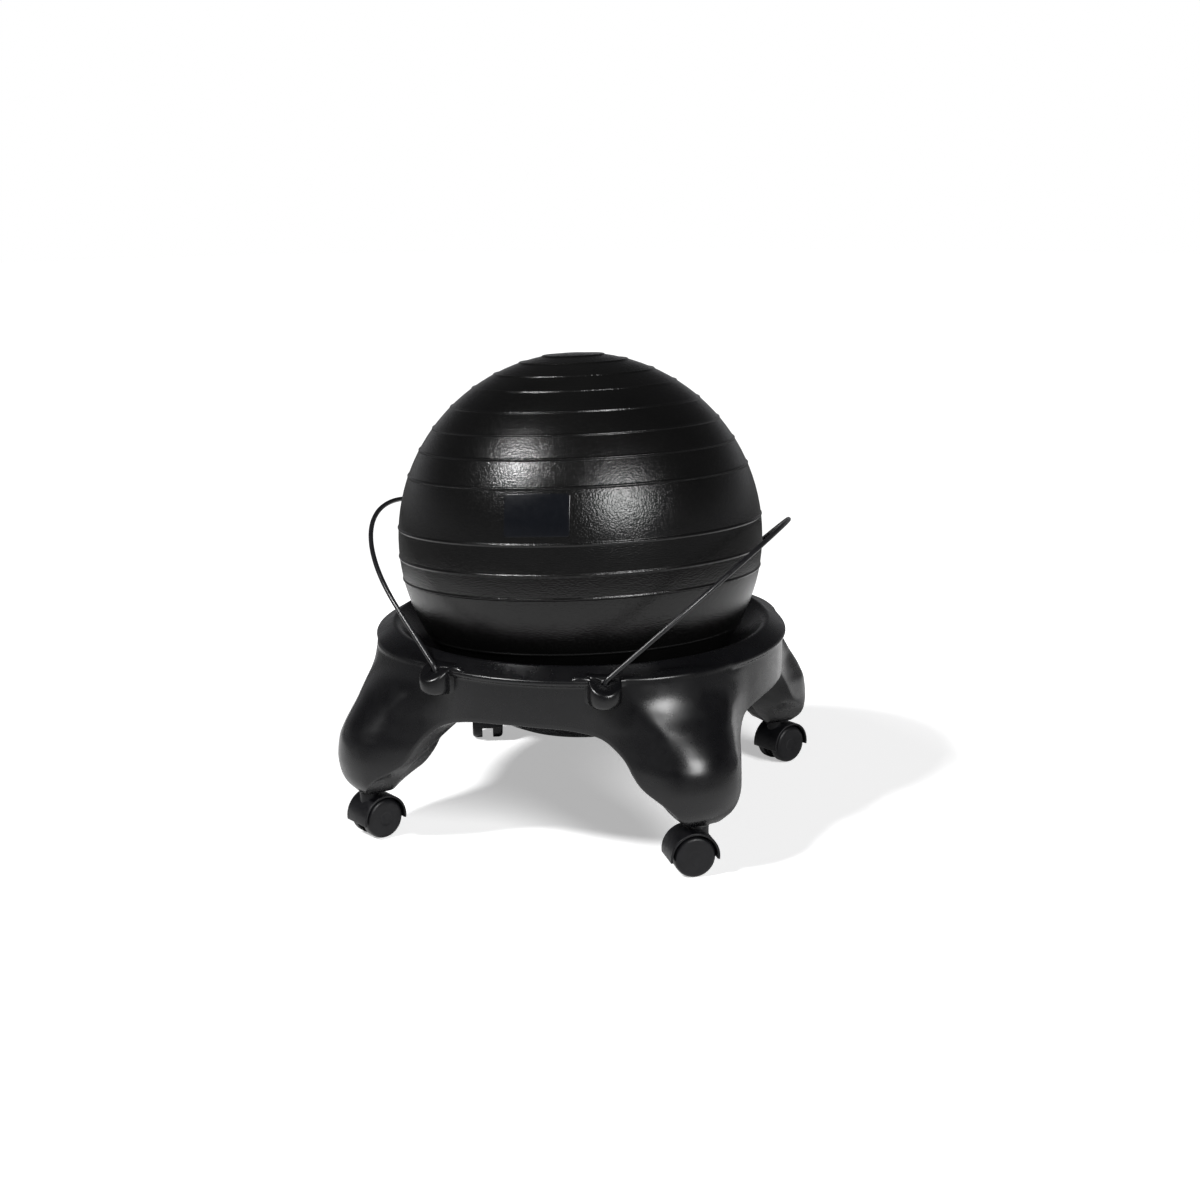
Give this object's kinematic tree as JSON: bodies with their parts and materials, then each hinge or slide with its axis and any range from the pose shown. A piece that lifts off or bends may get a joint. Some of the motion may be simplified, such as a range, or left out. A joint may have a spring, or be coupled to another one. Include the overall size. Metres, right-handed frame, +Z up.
{
  "type": "balance ball chair",
  "caption": "Low exercise-ball chair: a ribbed inflated ball in a bowl-shaped moulded base with legs, side bars and swivelling twin-wheel casters.",
  "frame": {"origin": "on the floor, under the middle of the bowl", "axes": "+Z up; -Y towards the side with the sockets nearest the camera in the picture; +X to the right of that side"},
  "size_m": [0.518, 0.5108, 0.5681],
  "materials": {
    "base_plastic": "satin black moulding",
    "ball_vinyl": "satin black vinyl with a fine pebble grain",
    "plug_plastic": "matte black",
    "label_panel": "gloss black, bare",
    "bar_steel": "semi-gloss black coating",
    "caster_plastic": "satin black nylon",
    "bright_steel": "plain bright steel"
  },
  "bodies": {
    "base": {"base_shell": "base_plastic", "side_bar_left": "bar_steel", "side_bar_right": "bar_steel", "front_left_stem_socket": "plug_plastic", "front_left_stem": "bright_steel", "front_right_stem_socket": "plug_plastic", "front_right_stem": "bright_steel", "back_right_stem_socket": "plug_plastic", "back_right_stem": "bright_steel", "back_left_stem_socket": "plug_plastic", "back_left_stem": "bright_steel"},
    "ball": {"ball": "ball_vinyl", "ball_valve_plug": "plug_plastic", "ball_label": "label_panel"},
    "front_left_caster": {"front_left_caster_housing": "caster_plastic", "front_left_axle": "bright_steel"},
    "front_left_roller_1": {"front_left_wheel_1": "caster_plastic"},
    "front_left_roller_2": {"front_left_wheel_2": "caster_plastic"},
    "front_right_caster": {"front_right_caster_housing": "caster_plastic", "front_right_axle": "bright_steel"},
    "front_right_roller_1": {"front_right_wheel_1": "caster_plastic"},
    "front_right_roller_2": {"front_right_wheel_2": "caster_plastic"},
    "back_right_caster": {"back_right_caster_housing": "caster_plastic", "back_right_axle": "bright_steel"},
    "back_right_roller_1": {"back_right_wheel_1": "caster_plastic"},
    "back_right_roller_2": {"back_right_wheel_2": "caster_plastic"},
    "back_left_caster": {"back_left_caster_housing": "caster_plastic", "back_left_axle": "bright_steel"},
    "back_left_roller_1": {"back_left_wheel_1": "caster_plastic"},
    "back_left_roller_2": {"back_left_wheel_2": "caster_plastic"}
  },
  "joints": [
    {"name": "ball_turn", "type": "hinge", "parent": "base", "child": "ball", "pos_m": [0, 0, 0.34284], "axis": [0, 0, 1], "continuous": true},
    {"name": "front_left_swivel", "type": "hinge", "parent": "base", "child": "front_left_caster", "pos_m": [-0.20605, -0.20605, 0.05], "axis": [0, 0, 1], "continuous": true},
    {"name": "front_left_wheel_1_roll", "type": "hinge", "parent": "front_left_caster", "child": "front_left_roller_1", "pos_m": [-0.20046, -0.19776, 0.02469], "axis": [-0.829, 0.5592, 0], "continuous": true},
    {"name": "front_left_wheel_2_roll", "type": "hinge", "parent": "front_left_caster", "child": "front_left_roller_2", "pos_m": [-0.20046, -0.19776, 0.02469], "axis": [-0.829, 0.5592, 0], "continuous": true},
    {"name": "front_right_swivel", "type": "hinge", "parent": "base", "child": "front_right_caster", "pos_m": [0.20605, -0.20605, 0.05], "axis": [0, 0, 1], "continuous": true},
    {"name": "front_right_wheel_1_roll", "type": "hinge", "parent": "front_right_caster", "child": "front_right_roller_1", "pos_m": [0.19748, -0.2112, 0.02469], "axis": [0.515, -0.8572, 0], "continuous": true},
    {"name": "front_right_wheel_2_roll", "type": "hinge", "parent": "front_right_caster", "child": "front_right_roller_2", "pos_m": [0.19748, -0.2112, 0.02469], "axis": [0.515, -0.8572, 0], "continuous": true},
    {"name": "back_right_swivel", "type": "hinge", "parent": "base", "child": "back_right_caster", "pos_m": [0.20605, 0.20605, 0.05], "axis": [0, 0, 1], "continuous": true},
    {"name": "back_right_wheel_1_roll", "type": "hinge", "parent": "back_right_caster", "child": "back_right_roller_1", "pos_m": [0.21164, 0.21434, 0.02469], "axis": [-0.829, 0.5592, 0], "continuous": true},
    {"name": "back_right_wheel_2_roll", "type": "hinge", "parent": "back_right_caster", "child": "back_right_roller_2", "pos_m": [0.21164, 0.21434, 0.02469], "axis": [-0.829, 0.5592, 0], "continuous": true},
    {"name": "back_left_swivel", "type": "hinge", "parent": "base", "child": "back_left_caster", "pos_m": [-0.20605, 0.20605, 0.05], "axis": [0, 0, 1], "continuous": true},
    {"name": "back_left_wheel_1_roll", "type": "hinge", "parent": "back_left_caster", "child": "back_left_roller_1", "pos_m": [-0.20247, 0.19671, 0.02469], "axis": [0.9336, 0.3584, 0], "continuous": true},
    {"name": "back_left_wheel_2_roll", "type": "hinge", "parent": "back_left_caster", "child": "back_left_roller_2", "pos_m": [-0.20247, 0.19671, 0.02469], "axis": [0.9336, 0.3584, 0], "continuous": true}
  ]
}
